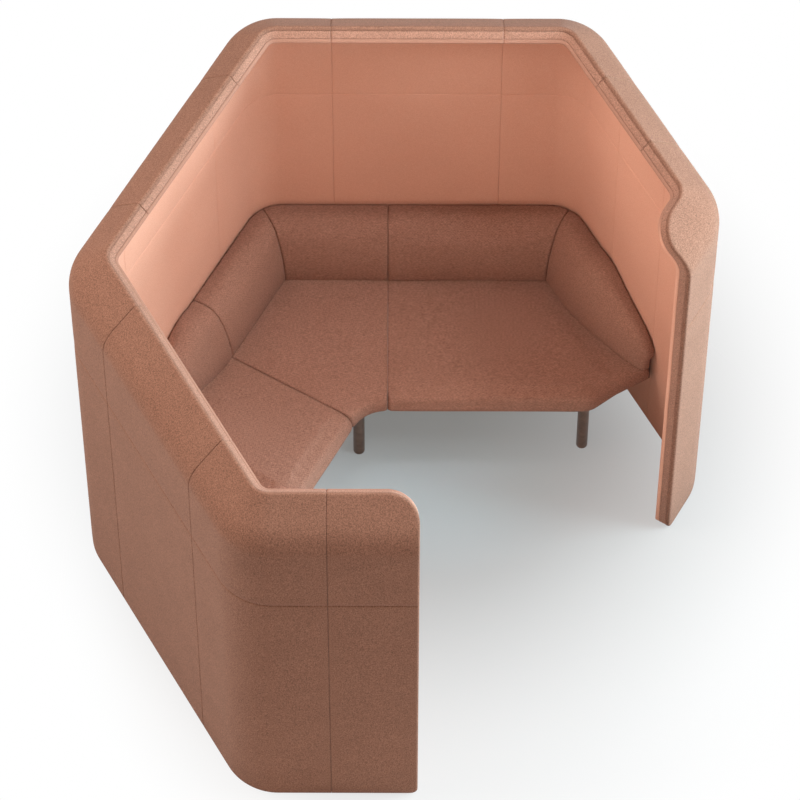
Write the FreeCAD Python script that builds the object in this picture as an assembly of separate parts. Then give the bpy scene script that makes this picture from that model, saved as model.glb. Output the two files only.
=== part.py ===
import FreeCAD, Part
import math
import os

# Hexagonal high-wall seating pod. Padded wall modules stand in a ring that is open at the front
# right, their tops bent inwards as a hood, and a three-part upholstered bench follows the back walls.
# Millimetres, +Z up, origin on the floor under the middle of the plan.

# Wall plan, measured on the outer face
corner_leg = 310.0          # sharp corner to the seam of a corner module
straight_width = 600.0      # straight module of the three full sides
short_width = 300.0         # straight module of the right-back side
front_end_width = 310.0     # last module of the front wall, beside the doorway
wing_leg = 270.0            # right corner to the free end of its wing
corner_radius = 210.0       # outer plan radius, all layers turn about one centre
turn_angle = 60.0           # plan turn at each corner

# Wall section, from the outer face inwards
shell_thickness = 16.0
core_thickness = 29.0
lining_thickness = 15.0
pod_height = 2000.0
bend_radius = 170.0         # outer radius of the hood bend
hood_angle = 45.0
hood_slope = 120.0          # straight run of the hood up to its rim
end_round = 110.0           # free end, top corner
foot_round = 30.0           # free end, bottom corner
seam_gap = 0.8              # between the covers of neighbouring modules

# Wall hardware
wall_glide_radius = 18.0
wall_glide_height = 4.0
wall_glide_inset = 60.0     # from the module's ends
dowel_radius = 5.0
dowel_length = 60.0
dowel_low = 300.0           # lowest dowel over the floor, the others are spaced evenly above it
dowel_below_bend = 195.0    # highest dowel under the hood's bend
bore_clearance = 0.15       # round a fixed pin, bolt or screw

# Bench plan and heights
wall_gap = 8.0              # lining to the bench's back boards
back_board_thickness = 12.0
bench_front = 725.0         # outer wall face to the seat's front edge
bench_joint = 508.0         # back-left corner to each seat joint
bench_end_gap = 280.0       # seat's end to the next sharp corner
joint_lead = 4.0            # straight bit of the corner seat's front beside each joint
end_corner_radius = 90.0
seat_top = 440.0
seat_thickness = 95.0
crown_radius = 16000.0
front_top_round = 50.0
front_low_round = 26.0
joint_round = 7.0
soft_clearance = 0.3

# Backrests
backrest_depth = 145.0      # at the seat
backrest_top = 720.0
backrest_sink = 25.0        # section drawn below the seat, before it is trimmed to the crown
front_bulge = 14.0
shoulder_depth_ratio = 0.66
shoulder_drop_ratio = 0.15
crest_depth_ratio = 0.12
rear_lip = 5.0              # fall of the top behind its crest
lip_gap = 3.0               # backrest's rear lip to the lining
ledge_clearance = 2.0       # rear lip over the back boards
even_run = 42.0             # full section kept beside the left joint, before the taper starts
# Along the taper: share of its length, share of the depth, share of the height over the seat
taper_steps = ((0.0, 1.0, 1.0), (0.5, 0.72, 0.83), (0.72, 0.54, 0.70), (0.93, 0.31, 0.50), (0.99, 0.2, 0.34))

# Bench boards
seat_board_thickness = 18.0
board_inset = 24.0          # behind the cushion's open edges
back_board_drop = 20.0      # below the backrest's top
back_board_end_height = 500.0
back_board_end_inset = 20.0

# Legs and levelling glides
leg_radius = 21.0
leg_wall = 2.0
leg_inset = 56.0            # leg axis behind the seat's open edges
rear_leg_offset = 150.0     # outer wall face to the rear leg axes
flange_radius = 32.0
flange_thickness = 4.0
plug_height = 14.0
glide_radius = 18.0
glide_thickness = 6.0
glide_edge = 2.0
stem_radius = 4.0
stem_length = 32.0
stem_clearance = 0.1
glide_rest_gap = 0.3

# Screws, bolts and link plates
screw_radius = 2.5
screw_head_radius = 4.6
screw_head_height = 2.4
flange_screw_length = 16.0
flange_screw_circle = 26.5
flange_screw_count = 4
edge_screw_length = 50.0
edge_screw_inset = 45.0
bolt_radius = 4.0
bolt_head_radius = 8.0
bolt_head_height = 4.0
bolt_bite = 20.0            # length in the wall core
bolt_edge = 30.0            # bolts below the lowest top of the back boards
bolt_inset = 90.0           # from the ends of each back board
spacer_radius = 17.0
link_length = 140.0
link_width = 40.0
link_thickness = 4.0
link_offsets = (220.0, 560.0)   # from the outer wall face
link_screw_along = 50.0

cut_margin = 5.0            # how far cutting shapes run past what they cut
on_line = 0.01              # how near counts as lying on a line or plane
edge_margin = 1.0           # how far past a face its own edges are looked for

# Sizes worked out from the ones above
Vector = FreeCAD.Vector
up = Vector(0, 0, 1)
tan_half = math.tan(math.radians(turn_angle / 2))
hood_sin = math.sin(math.radians(hood_angle))
hood_cos = math.cos(math.radians(hood_angle))
wall_thickness = shell_thickness + core_thickness + lining_thickness
core_middle = shell_thickness + core_thickness / 2
bend_height = pod_height - bend_radius * hood_sin - hood_slope * hood_cos
corner_tangent = corner_radius * tan_half
full_side = 2 * corner_leg + straight_width
short_side = 2 * corner_leg + short_width
front_side = front_end_width + corner_leg
side_lengths = (front_side, full_side, full_side, full_side, short_side, wing_leg)
bench_back = wall_thickness + wall_gap
cushion_back = bench_back + back_board_thickness
front_corner_radius = (bench_joint - joint_lead) / tan_half - bench_front
lip_back = wall_thickness + lip_gap
back_board_top = backrest_top - back_board_drop
seat_bottom = seat_top - seat_thickness
seat_board_bottom = seat_bottom - seat_board_thickness
flange_bottom = seat_board_bottom - flange_thickness
left_end = bench_end_gap
right_end = short_side - bench_end_gap
left_joint = full_side - bench_joint
taper_length = left_joint - left_end - even_run     # from full section to the bench's end
taper_on_board = (taper_length - back_board_end_inset) / taper_length   # share of it that has a board behind
bolt_height = back_board_end_height - bolt_edge
dowel_high = bend_height - dowel_below_bend
dowel_heights = (dowel_low, (dowel_low + dowel_high) / 2, dowel_high)
half_seam = seam_gap / 2


class Side:
    # One side of the wall ring: its start corner, the way along it and the way into the pod

    def __init__(self, start, heading, length):
        angle = math.radians(heading)
        self.start = start
        self.along = Vector(math.cos(angle), math.sin(angle), 0)
        self.inward = Vector(math.sin(angle), -math.cos(angle), 0)
        self.length = length

    def at(self, along, depth, height=0.0):
        return self.start + self.along * along + self.inward * depth + up * height


def ring_of_sides():
    # Walks from the doorway end of the front wall, clockwise, to the free end of the wing
    corner = Vector(0, 0, 0)
    walked = []
    for index, length in enumerate(side_lengths):
        side = Side(corner, 180.0 - turn_angle * index, length)
        walked.append(side)
        corner = side.at(length, 0)
    middle_x = (walked[2].start.x + walked[5].start.x) / 2
    middle_y = (walked[1].start.y + walked[3].start.y) / 2
    for side in walked:
        side.start = side.start - Vector(middle_x, middle_y, 0)
    return walked


sides = ring_of_sides()
front, left_front, left, back, right, wing = sides


def save(shape, name):
    shape.exportStep("parts/" + name + ".step")
    print(name, len(shape.Solids), "solid(s)", round(shape.Volume / 1000.0), "cm3", shape.isValid())


def line(start, end):
    return Part.LineSegment(start, end).toShape()


def arc(start, middle, end):
    return Part.Arc(start, middle, end).toShape()


def tangent_arc(start, tangent, end):
    # The arc that leaves its start along a tangent and comes to its end
    chord = end - start
    to_centre = (chord - tangent * chord.dot(tangent)).normalize()
    radius = chord.Length ** 2 / (2 * chord.dot(to_centre))
    centre = start + to_centre * radius
    return arc(start, centre + ((start + end) * 0.5 - centre).normalize() * radius, end)


def rounded_path(points, radii, closed=True):
    # Straight runs through the points with each corner rounded to its own radius
    count = len(points)
    starts = []
    ends = []
    middles = []
    for index, (point, radius) in enumerate(zip(points, radii)):
        if radius == 0:
            starts.append(point)
            ends.append(point)
            middles.append(None)
            continue
        to_last = (points[index - 1] - point).normalize()
        to_next = (points[(index + 1) % count] - point).normalize()
        half = to_last.getAngle(to_next) / 2
        reach = radius / math.tan(half)
        centre = point + (to_last + to_next).normalize() * (radius / math.sin(half))
        starts.append(point + to_last * reach)
        ends.append(point + to_next * reach)
        middles.append(centre + (point - centre).normalize() * radius)
    edges = []
    for index in range(count):
        if middles[index]:
            edges.append(arc(starts[index], middles[index], ends[index]))
        if index < count - 1 or closed:
            edges.append(line(ends[index], starts[(index + 1) % count]))
    return Part.Wire(edges)


def half_space(point, direction):
    # A block on one side of an upright plane, large enough for any piece of the pod
    reach = 2 * full_side
    across = Vector(-direction.y, direction.x, 0)
    corners = [point + across * reach, point - across * reach]
    corners += [corners[1] + direction * reach, corners[0] + direction * reach]
    face = Part.Face(Part.makePolygon(corners + corners[:1]))
    return face.extrude(up * pod_height)


def inner_corner(after, depth):
    # Where the lines at one depth inside two neighbouring sides meet
    return after.at(depth * tan_half, depth)


def cut_nearby(shape, tools):
    for tool in tools:
        if shape.BoundBox.intersect(tool.BoundBox):
            shape = shape.cut(tool)
    return shape


# Countersunk screws and bolts

def countersunk(point, direction, radius, length, head_radius, head_height, clearance=0.0):
    shank = Part.makeCylinder(radius + clearance, length + clearance, point, direction)
    head = Part.makeCone(head_radius + clearance, radius + clearance, head_height, point, direction)
    return shank.fuse(head).removeSplitter()


def screw(point, direction, length, clearance=0.0):
    return countersunk(point, direction, screw_radius, length, screw_head_radius, screw_head_height,
                       clearance)


def bolt(point, direction, clearance=0.0):
    length = back_board_thickness + wall_gap + lining_thickness + bolt_bite
    return countersunk(point, direction, bolt_radius, length, bolt_head_radius, bolt_head_height, clearance)


# Wall modules

def hood_point(side, along, depth, sweep):
    reach = bend_radius - depth
    angle = math.radians(sweep)
    return side.at(along, bend_radius - reach * math.cos(angle), bend_height + reach * math.sin(angle))


def rim_point(side, along, depth, below=0.0):
    slope = side.inward * hood_sin + up * hood_cos
    return hood_point(side, along, depth, hood_angle) + slope * (hood_slope - below)


def layer_face(side, along, near, far):
    # Section of one layer: upright, bent inwards, straight up to the rim
    edges = []
    for depth in (near, far):
        foot = side.at(along, depth, wall_glide_height)
        bend = hood_point(side, along, depth, 0.0)
        middle = hood_point(side, along, depth, hood_angle / 2)
        hood = hood_point(side, along, depth, hood_angle)
        edges += [line(foot, bend), arc(bend, middle, hood), line(hood, rim_point(side, along, depth))]
    edges.append(line(rim_point(side, along, near), rim_point(side, along, far)))
    edges.append(line(side.at(along, near, wall_glide_height), side.at(along, far, wall_glide_height)))
    return Part.Face(Part.Wire(Part.__sortEdges__(edges)))


def straight_layer(side, start, end, near, far):
    return layer_face(side, start, near, far).extrude(side.along * (end - start))


def side_before(after):
    return sides[sides.index(after) - 1]


def corner_layer(after, start, end, near, far):
    before = side_before(after)
    turn_start = before.length - corner_tangent
    pivot = before.at(turn_start, corner_radius)
    turned = layer_face(before, turn_start, near, far).revolve(pivot, up, -turn_angle)
    first = straight_layer(before, start, turn_start, near, far)
    second = straight_layer(after, corner_tangent, end, near, far)
    return first.fuse([turned, second]).removeSplitter()


def corner_cutter(place, radius, normal):
    # What a rounded corner takes off: place maps (from the end, from the edge) to the panel's face
    over = -cut_margin
    swing = radius * (1 - math.sqrt(0.5))
    points = [place(radius, 0.0), place(radius, over), place(over, over), place(over, radius)]
    edges = [line(points[0], points[1]), line(points[1], points[2]), line(points[2], points[3])]
    edges.append(line(points[3], place(0.0, radius)))
    edges.append(arc(place(0.0, radius), place(swing, swing), points[0]))
    return Part.Face(Part.Wire(edges)).extrude(normal * (wall_thickness + 2 * cut_margin))


def round_free_end(shape, side, end, way):
    # Rounds the top and bottom corners of a wall's free end; way points from the end into the wall
    hood_normal = side.inward * hood_cos - up * hood_sin

    def on_hood(from_end, from_rim):
        return rim_point(side, end + way * from_end, 0.0, from_rim) - hood_normal * cut_margin

    def on_foot(from_end, from_floor):
        return side.at(end + way * from_end, -cut_margin, wall_glide_height + from_floor)

    shape = shape.cut(corner_cutter(on_hood, end_round, hood_normal))
    return shape.cut(corner_cutter(on_foot, foot_round, side.inward))


# Seams: the side that each lies on and its distance along that side
seams = [(front, front_end_width)]
for side in sides[1:5]:
    seams += [(side, corner_leg), (side, side.length - corner_leg)]

dowels = []
dowel_bores = []
for side, along in seams:
    for height in dowel_heights:
        start = along - dowel_length / 2
        pin_foot = side.at(start, core_middle, height)
        bore_foot = side.at(start - bore_clearance, core_middle, height)
        bore_length = dowel_length + 2 * bore_clearance
        dowels.append(Part.makeCylinder(dowel_radius, dowel_length, pin_foot, side.along))
        bore_radius = dowel_radius + bore_clearance
        dowel_bores.append(Part.makeCylinder(bore_radius, bore_length, bore_foot, side.along))

# Back boards: side, start and end along it, and where a tapered one comes down
back_boards = {
    "left_backrest_board": (left, left_end + back_board_end_inset, left_joint - half_seam, "start"),
    "corner_left_backrest_board": (left, left_joint + half_seam, full_side - corner_tangent, None),
    "corner_back_backrest_board": (back, corner_tangent, bench_joint - half_seam, None),
    "right_back_backrest_board": (back, bench_joint + half_seam, full_side - corner_tangent, None),
    "right_backrest_board": (right, corner_tangent, right_end - back_board_end_inset, "end"),
}

wall_bolts = []
wall_bolt_holes = []
wall_spacers = []
edge_screws = []
edge_screw_holes = []
for side, start, end, taper in back_boards.values():
    for along in (start + bolt_inset, end - bolt_inset):
        head = side.at(along, cushion_back, bolt_height)
        hole = bolt(head, side.inward * -1, bore_clearance)
        wall_bolts.append(bolt(head, side.inward * -1))
        wall_bolt_holes.append(hole)
        spacer = Part.makeCylinder(spacer_radius, wall_gap, side.at(along, wall_thickness, bolt_height),
                                   side.inward)
        wall_spacers.append(spacer.cut(hole))
    for along in (start + edge_screw_inset, end - edge_screw_inset):
        head = side.at(along, bench_back, seat_bottom - seat_board_thickness / 2)
        edge_screws.append(screw(head, side.inward, edge_screw_length))
        edge_screw_holes.append(screw(head, side.inward, edge_screw_length, bore_clearance))

layers = {
    "shell": (0.0, shell_thickness, half_seam),
    "core": (shell_thickness, shell_thickness + core_thickness, 0.0),
    "lining": (shell_thickness + core_thickness, wall_thickness, half_seam),
}
straight_modules = {
    "left_front": left_front,
    "left_back": left,
    "back": back,
    "right_back": right,
}
corner_modules = {
    "front_left_corner": left_front,
    "left_corner": left,
    "back_left_corner": back,
    "back_right_corner": right,
    "right_corner": wing,
}


def wall_layer(module, layer):
    near, far, gap = layers[layer]
    if module == "front_end":
        shape = straight_layer(front, 0.0, front_end_width - gap, near, far)
        shape = round_free_end(shape, front, 0.0, 1)
    elif module in straight_modules:
        side = straight_modules[module]
        shape = straight_layer(side, corner_leg + gap, side.length - corner_leg - gap, near, far)
    else:
        after = corner_modules[module]
        start = side_before(after).length - corner_leg + gap
        end = wing_leg if after is wing else corner_leg - gap
        shape = corner_layer(after, start, end, near, far)
        if after is wing:
            shape = round_free_end(shape, wing, wing_leg, -1)
    if layer == "core":
        shape = cut_nearby(shape, dowel_bores)
    if layer != "shell":
        shape = cut_nearby(shape, wall_bolt_holes)
    return shape


def wall_glides():
    spots = [(front, wall_glide_inset), (front, front_end_width - wall_glide_inset)]
    spots.append((front, front_end_width + wall_glide_inset))
    for side in sides[1:5]:
        for seam in (corner_leg, side.length - corner_leg):
            spots += [(side, seam - wall_glide_inset), (side, seam + wall_glide_inset)]
    spots.append((wing, wing_leg - wall_glide_inset))
    return [Part.makeCylinder(wall_glide_radius, wall_glide_height, side.at(along, core_middle), up)
            for side, along in spots]


# Seats

def seat_end_corner(depth, end):
    # Where the right seat's end line meets the front line of the back part
    on_wall = right.at(end, 0)
    reach = (depth - (back.start.y - on_wall.y)) / (-right.inward.y)
    return on_wall + right.inward * reach


def seat_outlines(inset):
    # Plan outline and open front edge of each seat, its open edges drawn back by the inset
    depth = bench_front - inset
    gap = half_seam
    rear_radius = corner_radius - cushion_back
    left_stop = left_end + inset
    right_stop = right_end - inset
    right_corner = seat_end_corner(depth, right_stop)
    hollow = front_corner_radius + inset
    outlines = {}

    edge = [left.at(left_joint - gap, depth), left.at(left_stop, depth), left.at(left_stop, cushion_back)]
    rear = [left.at(left_joint - gap, cushion_back)]
    outlines["left_seat"] = (edge, [0, end_corner_radius, 0], rear, [0])

    edge = [back.at(bench_joint - gap, depth), inner_corner(back, depth), left.at(left_joint + gap, depth)]
    rear = [left.at(left_joint + gap, cushion_back), inner_corner(back, cushion_back)]
    rear.append(back.at(bench_joint - gap, cushion_back))
    outlines["corner_seat"] = (edge, [0, hollow, 0], rear, [0, rear_radius, 0])

    edge = [right.at(right_stop, cushion_back), right_corner, back.at(bench_joint + gap, depth)]
    rear = [back.at(bench_joint + gap, cushion_back), inner_corner(right, cushion_back)]
    outlines["right_seat"] = (edge, [0, end_corner_radius, 0], rear, [0, rear_radius])
    return {name: (rounded_path(edge + rear, edge_radii + rear_radii), rounded_path(edge, edge_radii, False))
            for name, (edge, edge_radii, rear, rear_radii) in outlines.items()}


def crown(outline, clearance=0.0):
    # The shallow dome that shapes a seat's top, over the middle of its plan
    middle = Part.Face(outline).CenterOfMass
    centre = Vector(middle.x, middle.y, seat_top - crown_radius)
    level_axis = Vector(1, 0, 0)
    dome = Part.makeSphere(crown_radius + clearance, centre, level_axis)
    dome.rotate(centre, level_axis, 180)
    return dome


def edges_along(shape, path, low, high):
    # The level edges of a solid that lie over a plan path, between two heights
    found = []
    for edge in shape.Edges:
        middle = edge.valueAt((edge.FirstParameter + edge.LastParameter) / 2)
        ends = [vertex.Point.z for vertex in edge.Vertexes]
        level = max(ends) - min(ends) < front_low_round
        over = Part.Vertex(Vector(middle.x, middle.y, 0)).distToShape(path)[0] < on_line
        if level and over and low < middle.z < high:
            found.append(edge)
    return found


def joint_edges(cushion, joint):
    # The top and front edges of a cushion's flat joint face, where its cover is pinched into the seam
    side, along = joint
    found = []
    for edge in cushion.Edges:
        middle = edge.valueAt((edge.FirstParameter + edge.LastParameter) / 2) - side.start
        on_plane = abs(middle.dot(side.along) - along) < on_line
        in_plane = abs(edge.tangentAt(edge.FirstParameter).dot(side.along)) < on_line
        before_rear = middle.dot(side.inward) > cushion_back + joint_round
        if on_plane and in_plane and before_rear and middle.z > seat_bottom + edge_margin:
            found.append(edge)
    return found


def seat_cushion(outline, open_edge, joints):
    block = Part.Face(outline).extrude(up * (seat_thickness + cut_margin))
    block.translate(up * seat_bottom)
    cushion = block.common(crown(outline))
    middle = seat_bottom + seat_thickness / 2
    cushion = cushion.makeFillet(front_top_round, edges_along(cushion, open_edge, middle, seat_top))
    low_edges = edges_along(cushion, open_edge, seat_bottom - edge_margin, middle)
    cushion = cushion.makeFillet(front_low_round, low_edges)
    return cushion.makeFillet(joint_round, [edge for joint in joints for edge in joint_edges(cushion, joint)])


def seat_board(outline):
    board = Part.Face(outline).extrude(up * seat_board_thickness)
    board.translate(up * seat_board_bottom)
    return board


# Backrests

def backrest_section(side, along, depth_share, height_share, board_top):
    # Bulged front, rolled top, and a rear lip that reaches back over the board towards the wall
    depth = backrest_depth * depth_share
    rise = (backrest_top - seat_top) * height_share
    top = seat_top + rise
    low = seat_top - backrest_sink
    foot = side.at(along, cushion_back + depth, low)
    shoulder = side.at(along, cushion_back + shoulder_depth_ratio * depth, top - shoulder_drop_ratio * rise)
    crest = side.at(along, cushion_back + crest_depth_ratio * depth, top)
    lip = side.at(along, lip_back, top - rear_lip * height_share)
    ledge = board_top + ledge_clearance
    lip_foot = side.at(along, lip_back, ledge)
    heel_top = side.at(along, cushion_back, ledge)
    heel = side.at(along, cushion_back, low)
    rising = (shoulder - foot).normalize()
    swell = side.along.cross(rising) * front_bulge * depth_share
    if swell.dot(side.inward) < 0:
        swell = swell * -1
    front_arc = arc(foot, (foot + shoulder) * 0.5 + swell, shoulder)
    top_arc = tangent_arc(shoulder, front_arc.tangentAt(front_arc.LastParameter), crest)
    rear = [line(crest, lip), line(lip, lip_foot), line(lip_foot, heel_top), line(heel_top, heel)]
    return Part.Wire([line(heel, foot), front_arc, top_arc, *rear])


def even_backrest(side, start, end):
    section = backrest_section(side, start, 1.0, 1.0, back_board_top)
    return Part.Face(section).extrude(side.along * (end - start))


def tapered_backrest(side, start, taper_start, way):
    # Full section from its start, then down to the bench's end
    even = even_backrest(side, start, taper_start)
    board_fall = back_board_top - back_board_end_height
    sections = []
    for share, depth_share, height_share in taper_steps:
        along = taper_start + way * share * taper_length
        board_top = back_board_top - board_fall * share / taper_on_board
        sections.append(backrest_section(side, along, depth_share, height_share, board_top))
    taper = Part.makeLoft(sections, True, False)
    return even.fuse(taper)


def mitre(after, way):
    # The part of the pod on one side of the line that halves a corner
    across = (side_before(after).along + after.along).normalize() * way
    return half_space(after.start + across * half_seam, across)


def bench_zone():
    # Everything clear of the linings, with the wall corners rounded
    radius = corner_radius - lip_back
    points = [left.at(0, lip_back), inner_corner(back, lip_back), inner_corner(right, lip_back)]
    points += [right.at(short_side, lip_back), back.at(full_side / 2, 2 * bench_front)]
    return Part.Face(rounded_path(points, [0, radius, radius, 0, 0])).extrude(up * pod_height)


def backrests(crowns):
    zone = bench_zone()
    gap = half_seam
    left_taper = left_end + taper_length
    right_taper = right_end - taper_length
    left_piece = tapered_backrest(left, left_joint - gap, left_taper, -1)
    corner_left_piece = even_backrest(left, left_joint + gap, full_side)
    corner_back_piece = even_backrest(back, 0.0, bench_joint - gap)
    right_back_piece = even_backrest(back, bench_joint + gap, full_side)
    right_piece = tapered_backrest(right, 0.0, right_taper, 1)
    raw = {
        "left_backrest": (left_piece, "left_seat", None),
        "corner_left_backrest": (corner_left_piece, "corner_seat", mitre(back, -1)),
        "corner_back_backrest": (corner_back_piece, "corner_seat", mitre(back, 1)),
        "right_back_backrest": (right_back_piece, "right_seat", mitre(right, -1)),
        "right_backrest": (right_piece, "right_seat", mitre(right, 1)),
    }
    made = {}
    for name, (shape, seat, keep) in raw.items():
        if keep:
            shape = shape.common(keep).common(zone)
        made[name] = shape.cut(crowns[seat]).removeSplitter()
    return made


def back_board(side, start, end, taper):
    start_top = back_board_end_height if taper == "start" else back_board_top
    end_top = back_board_end_height if taper == "end" else back_board_top
    corners = [side.at(start, bench_back, seat_board_bottom), side.at(end, bench_back, seat_board_bottom)]
    corners += [side.at(end, bench_back, end_top), side.at(start, bench_back, start_top)]
    board = Part.Face(Part.makePolygon(corners + corners[:1])).extrude(side.inward * back_board_thickness)
    return cut_nearby(board, wall_bolt_holes + edge_screw_holes)


# Legs

def leg_spots():
    inset = bench_front - leg_inset
    open_corner = front_corner_radius + leg_inset
    hollow_centre = inner_corner(back, bench_front + front_corner_radius)
    to_corner = (back.start - hollow_centre).normalize()
    return {
        "left_front": left.at(left_end + leg_inset, inset),
        "left_rear": left.at(left_end + leg_inset, rear_leg_offset),
        "corner_front": hollow_centre + to_corner * open_corner,
        "corner_rear": inner_corner(back, rear_leg_offset),
        "right_front": seat_end_corner(inset, right_end - leg_inset),
        "right_rear": inner_corner(right, rear_leg_offset),
    }


def flange_screw_spots(spot):
    for turn in range(flange_screw_count):
        angle = 2 * math.pi * (turn + 0.5) / flange_screw_count
        yield spot + Vector(math.cos(angle), math.sin(angle), 0) * flange_screw_circle + up * flange_bottom


def leg(spot):
    foot = spot + up * (glide_thickness + glide_rest_gap)
    height = seat_board_bottom - foot.z
    tube = Part.makeCylinder(leg_radius, height, foot, up)
    hollow = height - plug_height - flange_thickness
    tube = tube.cut(Part.makeCylinder(leg_radius - leg_wall, hollow, foot + up * plug_height, up))
    tube = tube.cut(Part.makeCylinder(stem_radius + stem_clearance, plug_height + cut_margin, foot, up))
    flange = Part.makeCylinder(flange_radius, flange_thickness, spot + up * flange_bottom, up)
    return tube.fuse(flange).removeSplitter()


def levelling_glide(spot):
    disc = Part.makeCylinder(glide_radius, glide_thickness, spot, up)
    rim = [edge for edge in disc.Edges if edge.BoundBox.ZMax < glide_edge and edge.Closed]
    disc = disc.makeFillet(glide_edge, rim)
    stem = Part.makeCylinder(stem_radius, stem_length, spot + up * glide_thickness, up)
    return disc.fuse(stem).removeSplitter()


# Link plates under the two seat joints

def link_plates():
    plates = []
    spots = []
    long_half = link_length / 2
    wide_half = link_width / 2
    bottom = seat_board_bottom - link_thickness
    for side, joint in ((left, left_joint), (back, bench_joint)):
        for offset in link_offsets:
            corners = [side.at(joint - long_half, offset - wide_half, bottom)]
            corners.append(side.at(joint + long_half, offset - wide_half, bottom))
            corners.append(side.at(joint + long_half, offset + wide_half, bottom))
            corners.append(side.at(joint - long_half, offset + wide_half, bottom))
            plates.append(Part.Face(Part.makePolygon(corners + corners[:1])).extrude(up * link_thickness))
            spots += [side.at(joint - link_screw_along, offset, bottom)]
            spots += [side.at(joint + link_screw_along, offset, bottom)]
    return plates, spots


# Build

os.makedirs("parts", exist_ok=True)

for module in ["front_end", *straight_modules, *corner_modules]:
    for layer in layers:
        save(wall_layer(module, layer), module + "_" + layer)
save(Part.makeCompound(wall_glides()), "wall_glides")
save(Part.makeCompound(dowels), "panel_dowels")

plates, plate_screw_spots = link_plates()
spots = leg_spots()
board_screw_spots = list(plate_screw_spots)
for spot in spots.values():
    board_screw_spots += flange_screw_spots(spot)
board_screws = [screw(spot, up, flange_screw_length) for spot in board_screw_spots]
board_screw_holes = [screw(spot, up, flange_screw_length, bore_clearance) for spot in board_screw_spots]

seat_joints = {
    "left_seat": [(left, left_joint - half_seam)],
    "corner_seat": [(left, left_joint + half_seam), (back, bench_joint - half_seam)],
    "right_seat": [(back, bench_joint + half_seam)],
}
cushion_outlines = seat_outlines(0.0)
board_outlines = seat_outlines(board_inset)
for name, (outline, open_edge) in cushion_outlines.items():
    save(seat_cushion(outline, open_edge, seat_joints[name]), name + "_cushion")
    board = seat_board(board_outlines[name][0])
    save(cut_nearby(board, board_screw_holes + edge_screw_holes), name + "_board")

crowns = {name: crown(outline, soft_clearance) for name, (outline, edge) in cushion_outlines.items()}
for name, shape in backrests(crowns).items():
    save(shape, name)
for name, (side, start, end, taper) in back_boards.items():
    save(back_board(side, start, end, taper), name)

legs = [cut_nearby(leg(spot), board_screw_holes) for spot in spots.values()]
save(Part.makeCompound(legs), "bench_legs")
for name, spot in spots.items():
    save(levelling_glide(spot), name + "_glide")

save(Part.makeCompound([cut_nearby(plate, board_screw_holes) for plate in plates]), "seat_link_plates")
save(Part.makeCompound(board_screws), "board_screws")
save(Part.makeCompound(edge_screws), "back_board_screws")
save(Part.makeCompound(wall_bolts), "wall_bolts")
save(Part.makeCompound(wall_spacers), "wall_spacers")
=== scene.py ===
import math

import bpy
import numpy as np
from mathutils import Matrix, Vector


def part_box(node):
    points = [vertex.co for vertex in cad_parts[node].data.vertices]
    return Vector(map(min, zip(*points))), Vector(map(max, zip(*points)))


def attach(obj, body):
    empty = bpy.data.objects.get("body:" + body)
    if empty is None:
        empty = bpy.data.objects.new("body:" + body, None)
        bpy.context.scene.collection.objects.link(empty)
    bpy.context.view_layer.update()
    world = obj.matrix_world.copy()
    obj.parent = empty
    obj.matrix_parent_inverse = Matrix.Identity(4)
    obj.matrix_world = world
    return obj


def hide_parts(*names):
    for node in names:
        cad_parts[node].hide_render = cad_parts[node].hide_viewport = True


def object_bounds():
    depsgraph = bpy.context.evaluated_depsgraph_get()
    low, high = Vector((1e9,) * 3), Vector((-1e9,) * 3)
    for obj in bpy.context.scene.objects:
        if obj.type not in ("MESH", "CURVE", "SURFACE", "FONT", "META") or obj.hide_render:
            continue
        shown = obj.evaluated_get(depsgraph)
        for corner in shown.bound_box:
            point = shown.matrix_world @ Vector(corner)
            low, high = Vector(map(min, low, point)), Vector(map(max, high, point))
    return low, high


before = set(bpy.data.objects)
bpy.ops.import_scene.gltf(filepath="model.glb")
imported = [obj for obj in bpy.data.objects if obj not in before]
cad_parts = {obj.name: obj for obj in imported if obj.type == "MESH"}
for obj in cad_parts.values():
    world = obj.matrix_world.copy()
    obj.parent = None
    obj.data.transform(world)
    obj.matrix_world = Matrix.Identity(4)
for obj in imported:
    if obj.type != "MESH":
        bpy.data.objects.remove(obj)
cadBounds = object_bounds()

scene = bpy.context.scene
print("stage: frame loaded")

# Wall ring, walked clockwise from the front wall's doorway end to the wing's free end
wallPlan = {
    "cornerLeg": 0.310,  # sharp corner to a corner module's seam
    "straight": 0.600,
    "short": 0.300,
    "frontEnd": 0.310,
    "wingLeg": 0.270,
    "cornerRadius": 0.210,
    "turn": math.radians(60),
    "halfSeam": 0.0004,
}
wallSection = {
    "bendRadius": 0.170,
    "hoodAngle": math.radians(45),
    "hoodSlope": 0.120,
    "endRound": 0.110,
    "footRound": 0.030,
    "foot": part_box("back_shell")[0].z,
    "height": cadBounds[1][2],
    "crossSeam": 1.450,  # height of the level seam in the covers
}
wallSection["bendHeight"] = (wallSection["height"]
                             - wallSection["bendRadius"] * math.sin(wallSection["hoodAngle"])
                             - wallSection["hoodSlope"] * math.cos(wallSection["hoodAngle"]))
wallPlan["tangent"] = wallPlan["cornerRadius"] * math.tan(wallPlan["turn"] / 2)
fullSide = 2 * wallPlan["cornerLeg"] + wallPlan["straight"]
shortSide = 2 * wallPlan["cornerLeg"] + wallPlan["short"]
sideLengths = (wallPlan["frontEnd"] + wallPlan["cornerLeg"], fullSide, fullSide, fullSide, shortSide,
               wallPlan["wingLeg"])


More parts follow.
